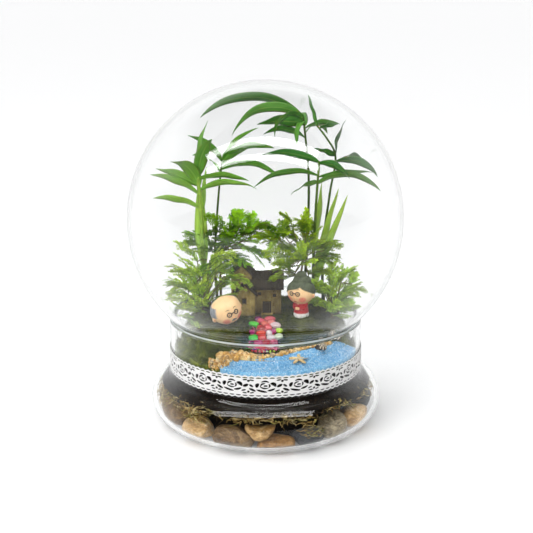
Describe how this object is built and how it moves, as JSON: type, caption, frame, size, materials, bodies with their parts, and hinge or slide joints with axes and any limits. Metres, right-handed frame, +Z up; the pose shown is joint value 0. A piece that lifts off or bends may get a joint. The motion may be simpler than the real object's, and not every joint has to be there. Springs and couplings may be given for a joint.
{
  "type": "glass plant terrarium",
  "caption": "Glass globe resting in the collar of a bulged glass base, with a planted miniature garden, river pebbles and a lace band.",
  "frame": {"origin": "centre of the flat foot under the glass base", "axes": "+Z up through the middle of the base and the globe, -Y towards the front of the garden, +X to its right"},
  "size_m": [0.1788, 0.1798, 0.227],
  "materials": {
    "clear_glass": "clear blown glass",
    "white_lace": "white woven lace",
    "dark_soil": "moist black soil",
    "dried_moss": "dry matted fibre",
    "green_moss": "soft living moss",
    "blue_sand": "dyed coarse sand",
    "tan_gravel": "small rounded gravel",
    "starfish": "dry starfish",
    "snail_shell": "banded shell",
    "glass_gems": "coloured glass gems",
    "farmhouse_resin": "painted cast resin",
    "old_man_resin": "painted cast resin",
    "old_woman_resin": "painted cast resin",
    "palm_leaf": "smooth living leaf",
    "spikemoss_leaf": "fine living leaf",
    "pebble_cream_tan": "water-worn stone",
    "pebble_brown": "water-worn stone",
    "pebble_amber": "water-worn stone",
    "pebble_slate": "water-worn stone",
    "pebble_grey_tan": "water-worn stone",
    "pebble_pale": "water-worn stone",
    "pebble_dark": "water-worn stone",
    "pebble_grey_brown": "water-worn stone"
  },
  "bodies": {
    "root": {"glass_base": "clear_glass", "glass_globe": "clear_glass", "lace_ribbon": "white_lace", "pebble_1": "pebble_pale", "pebble_2": "pebble_brown", "pebble_3": "pebble_cream_tan", "pebble_4": "pebble_amber", "pebble_5": "pebble_slate", "pebble_6": "pebble_grey_tan", "pebble_7": "pebble_pale", "pebble_8": "pebble_dark", "pebble_9": "pebble_grey_brown", "pebble_10": "pebble_amber", "pebble_11": "pebble_grey_tan", "pebble_12": "pebble_brown", "pebble_13": "pebble_pale", "pebble_14": "pebble_slate", "pebble_15": "pebble_cream_tan", "pebble_16": "pebble_grey_brown", "pebble_17": "pebble_brown", "dried_moss": "dried_moss", "moss_carpet": "green_moss", "blue_sand": "blue_sand", "potting_soil": "dark_soil", "gravel_border": "tan_gravel", "starfish": "starfish", "snail_shell_1": "snail_shell", "snail_shell_2": "snail_shell", "snail_shell_3": "snail_shell", "gem_path": "glass_gems", "farmhouse": "farmhouse_resin", "old_man_figurine": "old_man_resin", "old_woman_figurine": "old_woman_resin", "palm_left_near": "palm_leaf", "palm_left_far": "palm_leaf", "palm_right_tall": "palm_leaf", "palm_right_side": "palm_leaf", "palm_right_mid": "palm_leaf", "spikemoss_left": "spikemoss_leaf", "spikemoss_block": "spikemoss_leaf", "spikemoss_arch": "spikemoss_leaf", "spikemoss_right": "spikemoss_leaf"}
  },
  "joints": []
}
